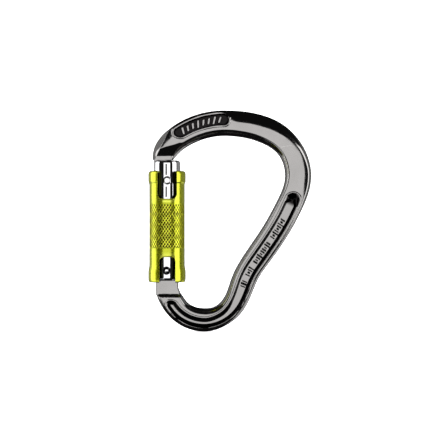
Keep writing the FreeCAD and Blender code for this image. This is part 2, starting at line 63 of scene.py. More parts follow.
INNER = [
    (-28.7, 87.04), (-27.4, 88.7), (-24.9, 91.5), (-21.0, 94.2), (-16.2, 96.5), (-11.3, 98.2), (-5.6, 99.25),
    (0.2, 99.25), (5.6, 98.6), (10.8, 97.6), (16.0, 95.75), (20.9, 93.3), (24.9, 89.9), (27.3, 85.0), (28.4, 78.6),
    (26.9, 72.6), (24.8, 68.0), (22.1, 62.8), (19.0, 56.9), (15.4, 51.1), (11.3, 45.1), (7.1, 39.0), (3.4, 33.1),
    (1.1, 28.2), (-0.4, 23.6), (-1.9, 19.0), (-4.6, 14.7), (-8.4, 12.1), (-12.6, 11.8), (-16.9, 12.1),
    (-20.7, 13.9), (-22.9, 16.4), (-24.4, 19.0), (-24.9, 19.6),
]
PAIRS = [
    ((-39.15, 87.04), (-28.7, 87.04)), ((-38.9, 91.0), (-27.5, 88.5)), ((-37.4, 95.6), (-26.0, 90.2)),
    ((-34.6, 99.4), (-23.6, 92.4)), ((-30.57, 103.06), (-20.6, 94.3)), ((-24.66, 107.0), (-16.2, 96.5)),
    ((-18.2, 109.5), (-11.9, 97.9)), ((-11.8, 111.2), (-7.8, 98.8)), ((-5.6, 112.0), (-3.7, 99.2)),
    ((0.6, 112.1), (0.5, 99.2)), ((6.7, 111.7), (4.6, 98.7)), ((12.9, 110.6), (8.7, 98.0)),
    ((19.2, 109.0), (12.8, 96.9)), ((25.1, 106.1), (17.0, 95.2)), ((30.7, 102.2), (20.9, 93.1)),
    ((35.3, 96.9), (24.2, 90.0)), ((38.7, 91.0), (26.4, 86.2)), ((40.8, 84.0), (27.7, 81.4)),
    ((41.3, 77.2), (27.9, 77.2)), ((39.9, 70.2), (26.9, 73.2)), ((37.4, 63.7), (25.1, 68.8)),
    ((34.5, 57.8), (22.9, 64.3)), ((31.5, 52.2), (20.4, 59.4)), ((28.0, 46.5), (17.0, 53.8)),
    ((24.0, 40.5), (13.0, 47.6)), ((19.5, 34.4), (8.8, 41.5)), ((15.2, 28.8), (4.3, 34.6)),
    ((13.2, 25.0), (1.7, 29.9)), ((12.0, 21.9), (0.3, 26.2)), ((9.8, 16.1), (-1.4, 20.6)),
    ((6.5, 10.2), (-3.9, 16.4)), ((1.6, 5.3), (-6.6, 13.9)), ((-5.4, 1.6), (-9.9, 12.3)),
    ((-12.6, 0.05), (-12.8, 11.95)), ((-19.6, 1.2), (-15.9, 12.2)), ((-25.7, 3.9), (-18.9, 13.2)),
    ((-30.8, 7.9), (-21.4, 14.9)), ((-34.6, 13.0), (-23.3, 17.2)), ((-36.7, 17.2), (-24.5, 19.1)),
    ((-37.4, 19.6), (-24.9, 19.6)),
]


def bspline(points, n):
    """A clamped cubic B-spline with the given poles, as n points."""
    P = np.array(points, float)
    m = len(P)
    knots = np.concatenate([[0.0] * 3, np.arange(m - 2), [m - 3.0] * 3])
    out = np.zeros((n, 2))
    for a, u in enumerate(np.linspace(0, m - 3 - 1e-9, n)):
        k = min(int(u), m - 4) + 3
        d = [P[j + k - 3].copy() for j in range(4)]
        for r in range(1, 4):
            for j in range(3, r - 1, -1):
                lo, hi = knots[j + k - 3], knots[j + 1 + k - r]
                t = 0.0 if hi == lo else (u - lo) / (hi - lo)
                d[j] = (1 - t) * d[j - 1] + t * d[j]
        out[a] = d[3]
    return out


def arclen(P):
    return np.concatenate([[0.0], np.cumsum(np.linalg.norm(np.diff(P, axis=0), axis=1))])


def smooth1(a, passes):
    for _ in range(passes):
        b = a.copy()
        b[1:-1] = 0.25 * a[:-2] + 0.5 * a[1:-1] + 0.25 * a[2:]
        a = b
    return a


def sstep(x):
    x = np.clip(x, 0.0, 1.0)
    return x * x * (3 - 2 * x)


def keyed(s, keys):
    xs, ys = [k[0] for k in keys], [k[1] for k in keys]
    return np.interp(s, xs, ys)


NS = 860                        # stations along the ring
co_, ci_ = bspline(OUTER, 3000), bspline(INNER, 3000)
lo_, li_ = arclen(co_), arclen(ci_)
po, pi = [], []
for a, b in PAIRS:
    po.append(lo_[np.argmin(np.linalg.norm(co_ - a, axis=1))])
    pi.append(li_[np.argmin(np.linalg.norm(ci_ - b, axis=1))])
po[0] = pi[0] = 0.0
po[-1], pi[-1] = lo_[-1], li_[-1]
fine = np.linspace(0, len(PAIRS) - 1, 2400)
so = smooth1(np.interp(fine, range(len(PAIRS)), po), 900)
si = smooth1(np.interp(fine, range(len(PAIRS)), pi), 900)


def at(C, L, s):
    return np.stack([np.interp(s, L, C[:, 0]), np.interp(s, L, C[:, 1])], 1)


O, I = at(co_, lo_, so), at(ci_, li_, si)
M = (O + I) / 2
lm = arclen(M)
TOTAL = lm[-1]
even = np.linspace(0, TOTAL, NS)
O = np.stack([np.interp(even, lm, O[:, k]) for k in (0, 1)], 1)
I = np.stack([np.interp(even, lm, I[:, k]) for k in (0, 1)], 1)
M = (O + I) / 2


def along(x, z):
    """How far along the middle line the point nearest to (x, z) is, mm."""
    return even[np.argmin((M[:, 0] - x) ** 2 + (M[:, 1] - z) ** 2)]


# ------------------------------------------------------------------------------------------------------------------
# Section of the ring. w runs across the bar in mm from the middle, towards the outside; depth is the half thickness.
# ------------------------------------------------------------------------------------------------------------------
DEPTH = 5.78
S_TOP0, S_TOP1 = 13.6, 41.4       # ends of the pocket in the large bow
S_LONG0, S_LONG1 = 99.6, 202.2     # ends of the long groove
S_NOSE = along(-30.0, 95.0)
S_SIDE = along(34.4, 78.0)
S_SPINE = along(17.0, 44.0)
S_FOOT = along(-12.7, 6.0)
S_HEEL = along(-27.5, 12.0)

w_in = keyed(even, [(0, 1.4), (6, 3.2), (20, 3.2), (60, 3.1), (76, 2.7), (92, 2.3), (106, 1.7), (140, 1.7), (156, 2.0),
                    (168, 2.9), (180, 3.2), (190, 2.8), (TOTAL, 1.8)])
w_out = keyed(even, [(0, 1.5), (4, 3.3), (9, 3.2), (13, 1.3), (38.8, 1.3), (41.8, 5.4), (45, 6.8), (58, 6.8), (67, 5.4), (77, 3.2), (88, 2.0), (98, 1.9),
                     (108, 1.8), (140, 1.8), (162, 2.8), (180, 3.4), (192, 3.0), (TOTAL, 1.8)])
w_in, w_out = smooth1(w_in, 90), smooth1(w_out, 40)


def capsule(s, w, s0, s1, half, soft):
    """Signed distance, mm, from a round-ended strip between s0 and s1: negative inside it."""
    ds = np.maximum(np.maximum(s0 + half - s, s - (s1 - half)), 0.0)
    return np.hypot(ds, w) - half


MID_TOP, HALF_TOP = 1.45, 3.05


def long_shape(s):
    """Middle and half width of the long groove, mm, and the width of its sloped walls on the outer and inner side."""
    mid = keyed(s, [(S_LONG0, 0.0), (112, 0.45), (150, 0.55), (160, 0.6), (170, 0.9), (180, 1.2), (190, 1.1), (S_LONG1, 0.9)])
    half = keyed(s, [(S_LONG0, 3.55), (112, 3.6), (150, 3.5), (160, 3.3), (170, 2.9), (180, 2.6), (192, 2.7), (S_LONG1, 2.7)])
    wall_o = keyed(s, [(S_LONG0, 1.8), (110, 2.1), (150, 2.2), (165, 2.3), (180, 2.2), (S_LONG1, 2.2)])
    wall_i = keyed(s, [(S_LONG0, 1.6), (110, 1.5), (150, 1.3), (162, 1.4), (170, 2.2), (S_LONG1, 2.4)])
    return mid, half, wall_o, wall_i


def pocket_depth(s, w):
    """How far the face lies below the rim, mm, and how dark the painted shade is there: 0 the plain polished face, 1
    near black.
    """
    d = capsule(s, w - MID_TOP, S_TOP0, S_TOP1, HALF_TOP, 0)
    depth = 1.55 * sstep(-d / 0.75)
    # painted shade: the pocket and the long groove's sloped walls are coloured near black; the groove's flat floor
    # stays bright except near its upper end
    recess_shade = sstep((-d - 0.10) / 0.35)
    mid, half, wall_o, wall_i = long_shape(s)
    d = capsule(s, w - mid, S_LONG0, S_LONG1, half, 0)
    wall = np.where(w > mid, wall_o, wall_i)
    end = sstep((S_LONG0 + 6.4 - s) / 2.6)
    wall = wall * (1 - end) + 3.5 * end
    depth = np.maximum(depth, 2.1 * sstep(-d / wall))
    flat = sstep((-d - wall * 0.80) / 0.30)
    recess_shade = np.maximum(recess_shade, sstep((-d - 0.12) / 0.35) * (1 - 0.97 * flat * sstep((s - S_LONG0 - 5.0) / 2.2)))
    return depth, recess_shade


def rim_lift(s, w):
    """A fine raised bead round each pocket."""
    d = capsule(s, w - MID_TOP, S_TOP0, S_TOP1, HALF_TOP, 0)
    lift = 0.38 * sstep((0.62 - np.abs(d - 0.22)) / 0.34)
    mid, half, _, _ = long_shape(s)
    d = capsule(s, w - mid, S_LONG0, S_LONG1, half, 0)
    lift = lift + 0.14 * sstep((0.55 - np.abs(d - 0.25)) / 0.35)
    return lift


def marks(s, w):
    """Plain raised slanted bars in the pocket, and a plain row of sunk ticks on the groove's floor."""
    h = np.zeros_like(w)
    n = 8
    for k in range(n):
        c = S_TOP0 + 4.6 + (S_TOP1 - S_TOP0 - 9.2) * k / (n - 1)
        wm = w - MID_TOP + 0.05
        along_bar = s - c - 0.45 * wm
        tall = 1.35 if k % 3 else 1.75
        d = np.hypot(np.maximum(np.abs(wm) - tall + 0.4, 0.0), along_bar) - 0.72
        h = h + 0.95 * sstep(-d / 0.22)
    c, mid = 113.2, long_shape(s)[0]
    plan = [1, 0, 2, 1, 0, 1, 2, 0, 1, -1, 1, 2, 0, 1, 1, 0, 2, 1, 0, 1, -1, 2, 1, 0, 1, -1, 1, 2, 1]
    tall = {0: 0.45, 1: 0.95, 2: 1.3}
    for kind in plan:
        c = c + (2.4 if kind < 0 else 1.28)
        if kind < 0:
            continue
        wm = w - mid + 0.1
        d = np.hypot(np.maximum(np.abs(wm) - tall[kind], 0.0), s - c) - 0.34
        h = h - 0.24 * sstep(-d / 0.2)
    return h


NE, NP = 19, 91
sec_w, sec_y = [], []
S2 = even[:, None]
half_t = np.linalg.norm(O - I, axis=1) / 2
th = np.linspace(0, math.pi / 2, NE)
# inner side, flat, outer side
wi_ = -half_t[:, None] + w_in[:, None] * (1 - np.cos(th))[None, :]
yi_ = DEPTH * np.sin(th)[None, :] * np.ones((NS, 1))
f = np.linspace(0, 1, NP + 2)[1:-1]
lo_w = (-half_t + w_in)[:, None]
hi_w = (half_t - w_out)[:, None]
wf_ = lo_w + (hi_w - lo_w) * f[None, :]
yf_ = np.full_like(wf_, DEPTH)
# 1 is a round side, 2 is a flat bevel
power = smooth1(keyed(even, [(0, 1.8), (11, 1.8), (18, 1.0), (TOTAL, 1.0)]), 60)[:, None]
wo_ = half_t[:, None] - w_out[:, None] * (1 - np.cos(th[::-1])[None, :] ** power)
yo_ = DEPTH * np.sin(th[::-1])[None, :] ** power
W = np.concatenate([wi_, wf_, wo_], 1)
Y = np.concatenate([yi_, yf_, yo_], 1)
SS = np.repeat(S2, W.shape[1], 1)
# position in the plane: straight across from inner to outer point
u = (W + half_t[:, None]) / (2 * half_t[:, None])
X = I[:, None, 0] + (O - I)[:, None, 0] * u
Z = I[:, None, 1] + (O - I)[:, None, 1] * u
depth, recess_shade = pocket_depth(SS, W)
relief = marks(SS, W) * (depth > 1.0)
cut = depth - rim_lift(SS, W) - relief
# painted shade: the raised bars in the pocket stay bright and the sunk ticks are coloured dark
recess_shade = recess_shade * (1 - np.clip((relief - 0.12) / 0.25, 0, 1))
recess_shade = np.maximum(recess_shade, np.clip(-relief / 0.12, 0, 1) * 0.95)
# a gently crowned face where the bar is wide
crown = smooth1(keyed(even, [(0, 0.0), (3, 0.2), (6.5, 1.6), (12, 1.5), (17, 0.2), (20, 0.0), (40, 0.0), (56, 0.7), (68, 1.35), (94, 1.5), (102, 0.8), (112, 0.15), (TOTAL, 0.1)]), 30)[:, None]
cut = cut + crown * np.clip((W - 0.3) / (half_t[:, None] - 0.3), 0, 1) ** 2
Y = Y - cut * np.clip(Y / DEPTH, 0, 1) ** 1.5
# nose: a thin flat land at the end, then a curved step up to the full bar
zt = np.interp(X, [-39.5, -35.4, -33.0, -27.8, -25.3], [90.6, 92.5, 93.3, 94.7, 95.6])
k = np.clip((Z - 88.85) / np.maximum(zt - 88.85, 0.3), 0, 1)
k = 0.65 * k + 0.35 * sstep(k)
thin = np.where(X < -22, (0.64 + 0.36 * k), 1.0)
thin = np.where((Z > 84) & (X < -22), thin, 1.0)
# heel: the bar steps down to the hinge tang's thickness
k2 = sstep((Z - 17.6) / 1.7)
thin = np.where((Z < 24) & (X < -22), 1.0 - (1 - 2.84 / DEPTH) * k2, thin)
Y = Y * thin

n = W.shape[1]
rows = []
front = np.stack([X, -Y, Z], 2)
back = np.stack([X, Y, Z], 2)[:, ::-1]
loop = np.concatenate([front, back[:, 1:-1]], 1)
m = loop.shape[1]
verts = (loop.reshape(-1, 3) * MM).tolist()
faces = []
for a in range(NS - 1):
    base, nxt = a * m, (a + 1) * m
    for b in range(m):
        c = (b + 1) % m
        faces.append((base + b, base + c, nxt + c, nxt + b))
faces.append(tuple(range(m - 1, -1, -1)))
faces.append(tuple((NS - 1) * m + b for b in range(m)))


def new_mesh(name, verts, faces):
    mesh = bpy.data.meshes.new(name)
    mesh.from_pydata(verts, [], faces)
    mesh.validate()
    obj = bpy.data.objects.new(name, mesh)
    scene.collection.objects.link(obj)
    bm = bmesh.new()
    bm.from_mesh(mesh)
    bmesh.ops.recalc_face_normals(bm, faces=bm.faces)
    bm.to_mesh(mesh)
    bm.free()
    return obj


def smooth_by_angle(obj, degrees):
    for p in obj.data.polygons:
        p.use_smooth = True
    obj.data.set_sharp_from_angle(angle=math.radians(degrees))


def revolve(name, profile, segments, cx=0.0, closed=True):
    """A closed profile of (radius, height) pairs, mm, turned about the upright line x = cx. Radius 0 makes a pole."""
    verts, faces, idx = [], [], []
    for r, z in profile:
        if r < 1e-6:
            idx.append([len(verts)])
            verts.append((cx * MM, 0, z * MM))
        else:
            ring = []
            for k in range(segments):
                a = 2 * math.pi * k / segments
                ring.append(len(verts))
                verts.append(((cx + r * math.cos(a)) * MM, r * math.sin(a) * MM, z * MM))
            idx.append(ring)
    count = len(profile)
    for i in range(count if closed else count - 1):
        A, B = idx[i], idx[(i + 1) % count]
        if len(A) == 1 and len(B) == 1:
            continue
        for k in range(segments):
            j = (k + 1) % segments
            if len(A) == 1:
                faces.append((A[0], B[k], B[j]))
            elif len(B) == 1:
                faces.append((A[k], A[j], B[0]))
            else:
                faces.append((A[k], A[j], B[j], B[k]))
    return new_mesh(name, verts, faces)


def prism(name, outline, lo, hi, axis="Y"):
    """A straight block: the outline (two coordinates in mm) runs from lo to hi along the axis."""
    verts, faces = [], []
    for v in (lo, hi):
        for p, q in outline:
            verts.append(((p * MM, v * MM, q * MM) if axis == "Y" else (v * MM, p * MM, q * MM)))
    c = len(outline)
    for i in range(c):
        j = (i + 1) % c
        faces.append((i, j, c + j, c + i))
    faces.append(tuple(range(c - 1, -1, -1)))
    faces.append(tuple(range(c, 2 * c)))
    return new_mesh(name, verts, faces)


def boolean(obj, cutter, operation="DIFFERENCE"):
    mod = obj.modifiers.new("b", "BOOLEAN")
    mod.operation = operation
    mod.solver = "EXACT"
    mod.object = cutter
    bpy.context.view_layer.update()
    dg = bpy.context.evaluated_depsgraph_get()
    mesh = bpy.data.meshes.new_from_object(obj.evaluated_get(dg))
    obj.modifiers.clear()
    old = obj.data
    obj.data = mesh
    bpy.data.meshes.remove(old)
    bpy.data.objects.remove(cutter)
    return obj


def join(objs, name):
    bm = bmesh.new()
    for o in objs:
        bm.from_mesh(o.data)
    mesh = bpy.data.meshes.new(name)
    bm.to_mesh(mesh)
    bm.free()
    for o in objs:
        bpy.data.objects.remove(o)
    out = bpy.data.objects.new(name, mesh)
    scene.collection.objects.link(out)
    return out


def rounded(cx, cz, hw, hh, r, steps=6):
    """A rectangle with round corners, as an outline."""
    pts = []
    for sx, sz, a0 in ((1, 1, 0), (-1, 1, 90), (-1, -1, 180), (1, -1, 270)):
        for k in range(steps + 1):
            a = math.radians(a0 + 90 * k / steps)
            pts.append((cx + sx * (hw - r) + r * math.cos(a), cz + sz * (hh - r) + r * math.sin(a)))
    return pts


def bevel_edges(obj, test, width, segments=2):
    bm = bmesh.new()
    bm.from_mesh(obj.data)
    edges = []
    for e in bm.edges:
        if len(e.link_faces) == 2 and e.calc_face_angle(0) > math.radians(35) and test(e):
            edges.append(e)
    if edges:
        bmesh.ops.bevel(bm, geom=edges, offset=width * MM, segments=segments, profile=0.5, affect="EDGES", clamp_overlap=True)
    bm.to_mesh(obj.data)
    bm.free()
    return len(edges)


def weld(obj, gap=1e-7):
    """Joins points that lie on one another, so that the surface is closed."""
    bm = bmesh.new()
    bm.from_mesh(obj.data)
    bmesh.ops.remove_doubles(bm, verts=bm.verts, dist=gap)
    bmesh.ops.dissolve_degenerate(bm, edges=bm.edges, dist=gap)
    bm.to_mesh(obj.data)
    bm.free()


ring_piece = new_mesh("body_forging", verts, faces)
loop_recess_shade = np.concatenate([recess_shade, recess_shade[:, ::-1][:, 1:-1]], 1).reshape(-1)


def paint(obj, name, values):
    """One number per vertex, for the material to read."""
    layer = obj.data.attributes.new(name, "FLOAT", "POINT")
    layer.data.foreach_set("value", np.asarray(values, dtype=np.float32))


# painted shade in the pockets and groove walls, stored per point for the material
paint(ring_piece, "recess_shade", loop_recess_shade)

# hinge tang blade, from the heel up round the pivot, with the spiral that works the plunger
tang = [(GX - 5.5, 18.5), (GX - 5.5, 24.0), (GX - 5.4, HZ - 3.0)]
for deg in range(-90, -9, 5):
    a = math.radians(deg)
    r = 5.35 - 0.15 * (deg + 90) / 80.0
    tang.append((GX + r * math.sin(a), HZ + r * math.cos(a)))
for deg in range(-5, 26, 3):
    a = math.radians(deg)
    r = 5.2 + 0.04 * max(0.0, deg)
    tang.append((GX + r * math.sin(a), HZ + r * math.cos(a)))
for deg in range(32, 91, 4):
    a = math.radians(deg)
    r = 6.15 - 0.42 * (deg - 25) / 65.0
    tang.append((GX + r * math.sin(a), HZ + r * math.cos(a)))
tang += [(GX + 5.72, HZ - 3.0), (GX + 5.75, 22.0), (GX + 6.5, 20.2), (GX + 6.5, 18.5)]
blade = prism("tang_blade", tang, -2.79, 2.79)
bevel_edges(blade, lambda e: abs(abs(e.verts[0].co.y) - 2.79 * MM) < 1e-6 and abs(e.verts[0].co.y - e.verts[1].co.y) < 1e-7, 0.35)

# nose key: a neck and a round bulb that hang in the gate's slot
bulb_pts = []
for k in range(0, 33):
    a = math.radians(50 - 280 * k / 32)
    bulb_pts.append((1.7 * math.cos(a), 84.0 + 1.7 * math.sin(a)))
bulb_pts = [(1.1, 88.5), (1.1, 85.3)] + [p for p in bulb_pts if p[1] < 85.29] + [(-1.1, 85.3), (-1.1, 88.5)]
keyp = prism("nose_key", bulb_pts, -38.45, -32.4, axis="X")
bevel_edges(keyp, lambda e: abs(e.verts[0].co.x - e.verts[1].co.x) < 1e-7, 0.25)
smooth_by_angle(ring_piece, 38)
smooth_by_angle(blade, 20)
smooth_by_angle(keyp, 20)
for part in (blade, keyp):
    paint(part, "recess_shade", [0.0] * len(part.data.vertices))
body = join([ring_piece, blade, keyp], "forged_body")
print("body verts", len(body.data.vertices))

# ------------------------------------------------------------------------------------------------------------------
# Gate barrel
# ------------------------------------------------------------------------------------------------------------------
R = 6.75


def arc(cx, cz, r, a0, a1, steps):
    return [(cx + r * math.cos(math.radians(a0 + (a1 - a0) * k / steps)), cz + r * math.sin(math.radians(a0 + (a1 - a0) * k / steps)))
            for k in range(steps + 1)]


profile = [(0, 26.0)] + arc(R - 1.5, 27.5, 1.5, -90, 0, 8) + [(R, 44.8), (R - 0.2, 45.0), (4.7, 45.0), (4.7, 59.2), (R - 0.2, 59.2), (R, 59.4)]
profile += arc(R - 1.5, 85.25, 1.5, 0, 90, 10) + [(0, 86.75)]
gate = revolve("gate_barrel_polished", profile, 160, cx=GX, closed=False)
gate = boolean(gate, prism("c", [(-2.95, 20.0), (2.95, 20.0), (2.95, 38.6), (-2.95, 38.6)], GX - 12, GX + 12, axis="X"))
slot = [(-1.45, 95), (-1.45, 85.4)] + [(-2.05, 84.6), (-2.05, 83.3), (-1.5, 82.0), (-0.7, 81.5), (0.7, 81.5), (1.5, 82.0), (2.05, 83.3), (2.05, 84.6)] + [(1.45, 85.4), (1.45, 95)]
gate = boolean(gate, prism("c", slot, GX - 12, GX + 0.3, axis="X"))
bore = revolve("c", [(0, 30.0), (2.5, 30.0), (2.5, 57.0), (0, 57.0)], 64, cx=GX, closed=False)
gate = boolean(gate, bore)
for z0, z1 in ((79.2, 84.8), (68.2, 73.4)):
    for side in (-1, 1):
        vs = [((GX - 0.25 + x) * MM, side * y * MM, z * MM) for z in (z0, z1) for x, y in ((-0.62, 6.80), (0.62, 6.80), (0.0, 6.52))]
        gate = boolean(gate, new_mesh("c", vs, [(0, 1, 2), (3, 5, 4), (0, 3, 4, 1), (1, 4, 5, 2), (2, 5, 3, 0)]))


def pin_along_y(name, profile, z, segments=64):
    p = revolve(name, profile, segments, closed=False)
    p.data.transform(Matrix.Translation((GX * MM, 0, z * MM)) @ Matrix.Rotation(math.radians(90), 4, "X"))
    return p


gate = boolean(gate, pin_along_y("c", [(0, -12), (1.72, -12), (1.72, 12), (0, 12)], HZ))
for side in (-1, 1):
    seat = pin_along_y("c", [(0, 5.6), (2.1, 5.6), (2.12, 7.2), (0, 7.2)] if side > 0 else [(0, -7.2), (2.12, -7.2), (2.1, -5.6), (0, -5.6)], HZ)
    gate = boolean(gate, seat)
weld(gate, 1e-6)
smooth_by_angle(gate, 32)

# hinge rivet: burnished dome inside a seat coloured dark as painted shade
prof = [(0, -6.5), (0.5, -6.48), (0.9, -6.4), (1.15, -6.25), (1.25, -6.0), (1.28, -5.75), (1.6, -5.62), (1.66, -5.5), (1.66, 5.5), (1.6, 5.62),
        (1.28, 5.75), (1.25, 6.0), (1.15, 6.25), (0.9, 6.4), (0.5, 6.48), (0, 6.5)]
rivet = pin_along_y("hinge_rivet_burnished", prof, HZ)
smooth_by_angle(rivet, 60)

# latch pin: an oval domed head on both sides
def oval_head(side):
    verts, faces = [], []
    rings = [(0.0, 7.12), (0.35, 7.06), (0.5, 7.1), (1.2, 7.0), (1.6, 6.88), (1.85, 6.72), (1.95, 6.5), (1.95, 6.1)]
    seg = 48
    verts.append((0, side * 7.04, 0))
    for r, y in rings[1:]:
        for k in range(seg):
            a = 2 * math.pi * k / seg
            verts.append((r * math.cos(a), side * y, r * 1.18 * math.sin(a)))
    for k in range(seg):
        faces.append((0, 1 + k, 1 + (k + 1) % seg))
    for q in range(len(rings) - 2):
        for k in range(seg):
            a0, a1 = 1 + q * seg + k, 1 + q * seg + (k + 1) % seg
            faces.append((a0, a0 + seg, a1 + seg, a1))
    faces.append(tuple(1 + (len(rings) - 2) * seg + k for k in range(seg)))
    v = [((GX + 0.3 + x * 1.04) * MM, y * MM, (76.5 + z) * MM) for x, y, z in verts]
    return new_mesh("head", v, faces)


latch = join([oval_head(-1), oval_head(1), pin_along_y("shaft", [(0, -6.3), (1.48, -6.3), (1.48, 6.3), (0, 6.3)], 76.4)], "latch_pin_domed")
smooth_by_angle(latch, 50)

# ------------------------------------------------------------------------------------------------------------------
# Twist sleeve: knurled waist, flared ends, two pairs of notches
# ------------------------------------------------------------------------------------------------------------------
SEG = 456
K0, K1 = 42.4, 64.6
RK = 8.98
outer_prof = []
outer_prof += arc(8.98, 26.05, 0.55, -100, -60, 2)
outer_prof = [(8.76, 25.32), (8.84, 25.22), (8.95, 25.2), (9.08, 25.26), (9.22, 25.48), (9.35, 25.88), (9.45, 26.4), (9.5, 27.0), (9.5, 28.6), (9.5, 30.2), (9.47, 31.0),
              (9.36, 31.7), (9.2, 32.3), (9.08, 32.9), (9.02, 33.5), (9.0, 34.2), (9.0, 36.5), (9.0, 39.0), (9.0, 41.4), (9.0, 41.9), (8.95, 42.15)]
rows = 120
for k in range(rows + 1):
    outer_prof.append((None, K0 + (K1 - K0) * k / rows))
outer_prof += [(8.95, 64.85), (9.0, 65.1), (9.0, 65.6), (9.0, 68.0), (9.0, 71.0), (9.0, 74.2), (9.03, 74.8), (9.12, 75.15), (9.3, 75.45), (9.44, 75.8), (9.49, 76.3),
               (9.5, 77.5), (9.5, 79.6), (9.48, 80.1), (9.38, 80.6), (9.2, 81.02), (8.9, 81.28), (8.5, 81.39), (8.1, 81.4), (7.7, 81.33), (7.45, 81.1),
               (7.32, 80.8), (7.3, 80.4), (7.3, 74.0), (7.3, 66.9), (7.4, 66.8), (7.85, 66.8), (7.95, 66.7), (7.95, 55.0), (7.95, 39.2), (7.98, 39.1), (8.3, 39.1), (8.3, 38.3), (7.98, 38.3),
               (7.95, 38.2), (7.95, 28.35), (8.05, 28.22), (8.70, 28.2), (8.76, 28.1), (8.76, 25.5)]
NKX = 38
cellz = 2.15
painted_pit_shade, crest_highlights = [], []
verts, faces = [], []
nrow = len(outer_prof)
for r, z in outer_prof:
    for k in range(SEG):
        a = 2 * math.pi * k / SEG
        rr = r
        if r is not None:
            # painted shade: dark colour inside the bore and on the notch walls' inner side
            painted_pit_shade.append(0.9 if (r < 8.2 and 28.0 < z < 80.0) else 0.0)
            crest_highlights.append(0.0)
        else:
            uu, vv = NKX * a / (2 * math.pi), (z - K0) / cellz
            t1 = abs(((uu + vv) % 1.0) - 0.5) * 2
            t2 = abs(((uu - vv) % 1.0) - 0.5) * 2
            # two crossing sets of thin raised lines; between them the metal is pressed in
            pit_and_shade = min(max((min(t1, t2) - 0.28) / 0.20, 0.0), 1.0)
            fade = max(min(1.0, (z - K0) / 0.4, (K1 - z) / 0.4), 0.0)
            rr = RK - pit_and_shade * 0.55 * fade
            # painted shade in the pressed-in pits
            painted_pit_shade.append(pit_and_shade * fade)
            # painted highlight on the raised lines
            crest_highlights.append((1.0 - pit_and_shade) * fade)
        verts.append(((GX + rr * math.cos(a)) * MM, rr * math.sin(a) * MM, z * MM))
for i in range(nrow):
    j = (i + 1) % nrow
    for k in range(SEG):
        l = (k + 1) % SEG
        faces.append((i * SEG + k, i * SEG + l, j * SEG + l, j * SEG + k))
sleeve = new_mesh("twist_sleeve_knurled", verts, faces)
paint(sleeve, "pit_and_shade", painted_pit_shade)
paint(sleeve, "crest_highlight", crest_highlights)
NOTCH_X = GX + 0.45
sleeve = boolean(sleeve, prism("c", rounded(NOTCH_X, 67.3 + 15, 4.8, 15, 2.4, 8), -20, 20))
sleeve = boolean(sleeve, prism("c", rounded(GX + 0.5, 38.0 - 15, 4.0, 15, 2.2, 8), -20, 20))


def at_notch(e):
    p = (e.verts[0].co + e.verts[1].co) / 2 / MM
    rad = math.hypot(p.x - GX, p.y)
    near_top = p.z > 67.0 and abs(abs(p.x - NOTCH_X) - 4.8) < 0.06 or (67.2 < p.z < 69.9 and abs(p.x - NOTCH_X) < 5.05)
    near_low = p.z < 38.3 and abs(abs(p.x - GX - 0.5) - 4.0) < 0.06 or (35.6 < p.z < 38.1 and abs(p.x - GX - 0.5) < 4.05)
    return rad > 8.88 and (near_top or near_low)


print("notch edges", bevel_edges(sleeve, at_notch, 0.22, 2))
shell = [(z, r if r is not None else RK) for r, z in outer_prof[: outer_prof.index((8.1, 81.4))]]
shell = sorted(shell[2:])
shell_z, shell_r = [p[0] for p in shell], [p[1] for p in shell]
# painted shade: after the cuts, the bore, including behind the knurl, and the notch walls' inner side are coloured dark
# again
pit_shade_now = np.zeros(len(sleeve.data.vertices), dtype=np.float32)
sleeve.data.attributes["pit_and_shade"].data.foreach_get("value", pit_shade_now)
for i, v in enumerate(sleeve.data.vertices):
    r, z = math.hypot(v.co.x / MM - GX, v.co.y / MM), v.co.z / MM
    waist = K0 - 0.2 < z < K1 + 0.2
    if not waist:
        x = v.co.x / MM
        in_notch = (z > 67.2 and abs(x - NOTCH_X) < 4.9) or (z < 38.2 and abs(x - GX - 0.5) < 4.1)
        outer = float(np.interp(z, shell_z, shell_r))
        inner = 8.82 if z < 28.4 else 8.72
        pit_shade_now[i] = 0.94 if ((r < inner or (in_notch and r < outer - 0.10)) and 25.4 < z < 80.7) else 0.0
    elif r < 8.3:
        pit_shade_now[i] = 0.94
sleeve.data.attributes["pit_and_shade"].data.foreach_set("value", pit_shade_now)
smooth_by_angle(sleeve, 34)
print("sleeve verts", len(sleeve.data.vertices))


# ------------------------------------------------------------------------------------------------------------------
# Materials
# ------------------------------------------------------------------------------------------------------------------
def material(name):
    mat = bpy.data.materials.new(name)
    mat.use_nodes = True
    nt = mat.node_tree
    nt.nodes.clear()
    out = nt.nodes.new("ShaderNodeOutputMaterial")
    bsdf = nt.nodes.new("ShaderNodeBsdfPrincipled")
    nt.links.new(bsdf.outputs["BSDF"], out.inputs["Surface"])
    return mat, nt, bsdf


def coords(nt):
    return nt.nodes.new("ShaderNodeTexCoord").outputs["Object"]


def noise(nt, vec, scale, detail=4.0, rough=0.55, stretch=None):
    if stretch:
        mp = nt.nodes.new("ShaderNodeMapping")
        mp.inputs["Scale"].default_value = stretch
        nt.links.new(vec, mp.inputs["Vector"])
        vec = mp.outputs["Vector"]
    t = nt.nodes.new("ShaderNodeTexNoise")
    t.inputs["Scale"].default_value = scale
    t.inputs["Detail"].default_value = detail
    t.inputs["Roughness"].default_value = rough
    nt.links.new(vec, t.inputs["Vector"])
    return t.outputs["Fac"]


def ramp(nt, fac, stops):
    r = nt.nodes.new("ShaderNodeValToRGB")
    el = r.color_ramp.elements
    while len(el) < len(stops):
        el.new(0.5)
    for e, (p, c) in zip(el, stops):
        e.position = p
        e.color = (c[0], c[1], c[2], 1.0) if isinstance(c, tuple) else (c, c, c, 1.0)
    nt.links.new(fac, r.inputs["Fac"])
    return r.outputs["Color"]


